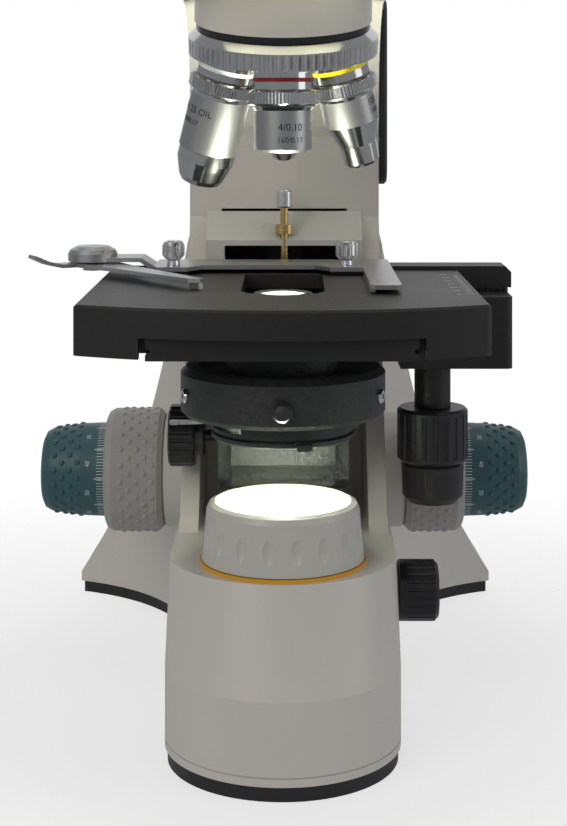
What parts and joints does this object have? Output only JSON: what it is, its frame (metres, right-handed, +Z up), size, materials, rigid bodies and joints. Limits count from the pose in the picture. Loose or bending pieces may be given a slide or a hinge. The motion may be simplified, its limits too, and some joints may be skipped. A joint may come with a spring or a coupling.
{
  "type": "binocular microscope",
  "caption": "Compound microscope with binocular head, turning nosepiece, mechanical stage, rack-driven condenser, coaxial focus knobs and a built-in lamp in a bell-shaped base.",
  "frame": {"origin": "on the table, straight below the working objective, on the optical axis", "axes": "+Z up along the optical axis, -Y towards the user and the lamp end, +X to the user's right"},
  "size_m": [0.188, 0.3055, 0.401],
  "materials": {
    "cream_paint": "painted, satin",
    "cream_plastic": "satin",
    "black_plastic": "matt",
    "grey_plastic": "satin",
    "teal_plastic": "satin",
    "yellow_plastic": "satin",
    "chrome": "polished",
    "satin_steel": "satin",
    "satin_alloy": "satin",
    "black_alloy": "anodised",
    "brass": "plain",
    "lens_glass": "polished",
    "lit_lens": "polished",
    "board": "plain"
  },
  "bodies": {
    "stand": {"base_body": "cream_paint", "pillar": "cream_paint", "bottom_cover": "black_plastic", "cover_screws": "satin_steel", "carriage_cover": "cream_plastic", "guide_rail": "satin_steel", "focus_hubs": "cream_plastic", "trim_ring": "yellow_plastic", "lamp_board": "board", "driver_board": "board", "dimmer": "satin_steel", "rear_sockets": "black_plastic", "upper_arm": "cream_paint", "arm_side_plate": "black_plastic", "nosepiece_mount": "black_alloy"},
    "collector": {"lamp_ring": "cream_plastic", "field_lens": "lit_lens"},
    "brightness": {"brightness_knob": "black_plastic"},
    "power_switch": {"power_rocker": "black_plastic"},
    "coarse_drive": {"coarse_shaft": "satin_steel", "coarse_knobs": "grey_plastic"},
    "fine_drive": {"fine_shaft": "satin_steel", "fine_knobs": "teal_plastic"},
    "upper_stop": {"stop_screw": "brass"},
    "stage_carrier": {"stage_bracket": "black_alloy", "focus_rack": "brass", "lower_plate": "black_alloy", "condenser_guide": "black_alloy"},
    "stage_table": {"stage_top": "black_alloy", "drive_block": "black_alloy"},
    "forward_drive": {"y_knob": "black_plastic"},
    "sideways_carriage": {"x_bar": "black_alloy", "slide_holder": "satin_steel"},
    "sideways_drive": {"x_knob": "black_plastic"},
    "left_thumbscrew": {"holder_screw_left": "chrome"},
    "right_thumbscrew": {"holder_screw_right": "chrome"},
    "spring_finger": {"slide_finger": "satin_steel"},
    "condenser": {"condenser_holder": "black_alloy", "condenser_body": "black_alloy", "condenser_lenses": "lens_glass", "centring_screws": "chrome"},
    "condenser_drive": {"height_knob": "black_plastic"},
    "iris": {"iris_lever": "satin_steel"},
    "filter_ring": {"filter_holder": "black_alloy"},
    "nosepiece": {"turret": "chrome", "objective_4x": "satin_alloy", "objective_10x": "satin_alloy", "objective_40x": "satin_alloy", "objective_100x": "satin_alloy", "objective_lenses": "lens_glass"},
    "head": {"head_housing": "cream_paint", "hub_cap": "black_plastic"},
    "head_clamp": {"head_lock_screw": "chrome"},
    "right_tube": {"right_eye_arm": "cream_paint"},
    "left_tube": {"left_eye_arm": "cream_paint"},
    "dioptre_adjuster": {"dioptre_ring": "black_plastic"},
    "left_ocular": {"left_eyepiece": "black_alloy", "left_eye_lens": "lens_glass"},
    "right_ocular": {"right_eyepiece": "black_alloy", "right_eye_lens": "lens_glass"}
  },
  "joints": [
    {"name": "collector_turn", "type": "hinge", "parent": "stand", "child": "collector", "pos_m": [0, 0, 0.07], "axis": [0, 0, 1], "range_deg": [0, 90]},
    {"name": "brightness_turn", "type": "hinge", "parent": "stand", "child": "brightness", "pos_m": [0.045, 0.03, 0.046], "axis": [1, 0, 0], "range_deg": [-150, 150]},
    {"name": "power_rock", "type": "hinge", "parent": "stand", "child": "power_switch", "pos_m": [0.014, 0.1875, 0.02], "axis": [1, 0, 0], "range_deg": [-8, 0]},
    {"name": "stage_height", "type": "slide", "parent": "stand", "child": "stage_carrier", "axis": [0, 0, 1], "range_m": [-0.002, 0.026]},
    {"name": "coarse_turn", "type": "hinge", "parent": "stand", "child": "coarse_drive", "pos_m": [0, 0.1, 0.073], "axis": [1, 0, 0], "range_deg": [-19.2, 248.4]},
    {"name": "fine_turn", "type": "hinge", "parent": "stand", "child": "fine_drive", "pos_m": [0, 0.1, 0.073], "axis": [1, 0, 0], "continuous": true},
    {"name": "stop_turn", "type": "hinge", "parent": "stand", "child": "upper_stop", "pos_m": [0, 0.0895, 0.17], "axis": [0, 0, 1], "continuous": true},
    {"name": "stage_forward", "type": "slide", "parent": "stage_carrier", "child": "stage_table", "axis": [0, -1, 0], "range_m": [0, 0.036]},
    {"name": "forward_knob_turn", "type": "hinge", "parent": "stage_table", "child": "forward_drive", "pos_m": [0.0544, 0.056, 0.1], "axis": [0, 0, 1], "range_deg": [-295, 0]},
    {"name": "stage_sideways", "type": "slide", "parent": "stage_table", "child": "sideways_carriage", "axis": [-1, 0, 0], "range_m": [-0.048, 0.022]},
    {"name": "sideways_knob_turn", "type": "hinge", "parent": "stage_table", "child": "sideways_drive", "pos_m": [0.0544, 0.056, 0.08], "axis": [0, 0, 1], "range_deg": [-393, 180.2]},
    {"name": "left_thumbscrew_turn", "type": "hinge", "parent": "sideways_carriage", "child": "left_thumbscrew", "pos_m": [-0.0404, 0.056, 0.16], "axis": [0, 0, 1], "continuous": true},
    {"name": "right_thumbscrew_turn", "type": "hinge", "parent": "sideways_carriage", "child": "right_thumbscrew", "pos_m": [0.023, 0.056, 0.16], "axis": [0, 0, 1], "continuous": true},
    {"name": "finger_open", "type": "hinge", "parent": "sideways_carriage", "child": "spring_finger", "pos_m": [-0.07, 0.057, 0.157], "axis": [0, 0, 1], "range_deg": [-35, 0], "stiffness_Nm_per_rad": 0.03, "springref_deg": 17.19},
    {"name": "condenser_height", "type": "slide", "parent": "stage_carrier", "child": "condenser", "axis": [0, 0, 1], "range_m": [-0.014, 0]},
    {"name": "condenser_knob_turn", "type": "hinge", "parent": "stage_carrier", "child": "condenser_drive", "pos_m": [0, 0.041, 0.098], "axis": [1, 0, 0], "range_deg": [0, 191.1]},
    {"name": "iris_swing", "type": "hinge", "parent": "condenser", "child": "iris", "pos_m": [0, 0, 0.111], "axis": [0, 0, 1], "range_deg": [-38, 38]},
    {"name": "filter_swing", "type": "hinge", "parent": "condenser", "child": "filter_ring", "pos_m": [0.022, 0.015, 0.107], "axis": [0, 0, 1], "range_deg": [0, 70]},
    {"name": "nosepiece_turn", "type": "hinge", "parent": "stand", "child": "nosepiece", "pos_m": [0, 0.01795, 0.23128], "axis": [0, -0.2419, 0.9703], "continuous": true},
    {"name": "head_turn", "type": "hinge", "parent": "stand", "child": "head", "pos_m": [0, 0, 0.276], "axis": [0, 0, 1], "continuous": true},
    {"name": "head_clamp_turn", "type": "hinge", "parent": "stand", "child": "head_clamp", "pos_m": [0.035, 0, 0.273], "axis": [1, 0, 0], "range_deg": [0, 180]},
    {"name": "right_tube_fold", "type": "hinge", "parent": "head", "child": "right_tube", "pos_m": [0, -0.031, 0.323], "axis": [0, -0.866, 0.5], "range_deg": [-23.3, 16.2]},
    {"name": "left_tube_fold", "type": "hinge", "parent": "head", "child": "left_tube", "pos_m": [0, -0.031, 0.323], "axis": [0, -0.866, 0.5], "range_deg": [-16.3, 23.4]},
    {"name": "dioptre_turn", "type": "hinge", "parent": "left_tube", "child": "dioptre_adjuster", "pos_m": [-0.032, -0.06405, 0.36575], "axis": [0, -0.866, 0.5], "range_deg": [-90, 90]},
    {"name": "left_eyepiece_lift", "type": "slide", "parent": "left_tube", "child": "left_ocular", "axis": [0, -0.866, 0.5], "range_m": [0, 0.03]},
    {"name": "right_eyepiece_lift", "type": "slide", "parent": "right_tube", "child": "right_ocular", "axis": [0, -0.866, 0.5], "range_m": [0, 0.03]}
  ],
  "couplings": [
    {"joint": "coarse_turn", "follows": "stage_height", "rad_per_m": 166.67},
    {"joint": "forward_knob_turn", "follows": "stage_forward", "rad_per_m": -142.86},
    {"joint": "sideways_knob_turn", "follows": "stage_sideways", "rad_per_m": 142.86},
    {"joint": "condenser_knob_turn", "follows": "condenser_height", "rad_per_m": -238.1},
    {"joint": "left_tube_fold", "follows": "right_tube_fold", "ratio": -1}
  ]
}
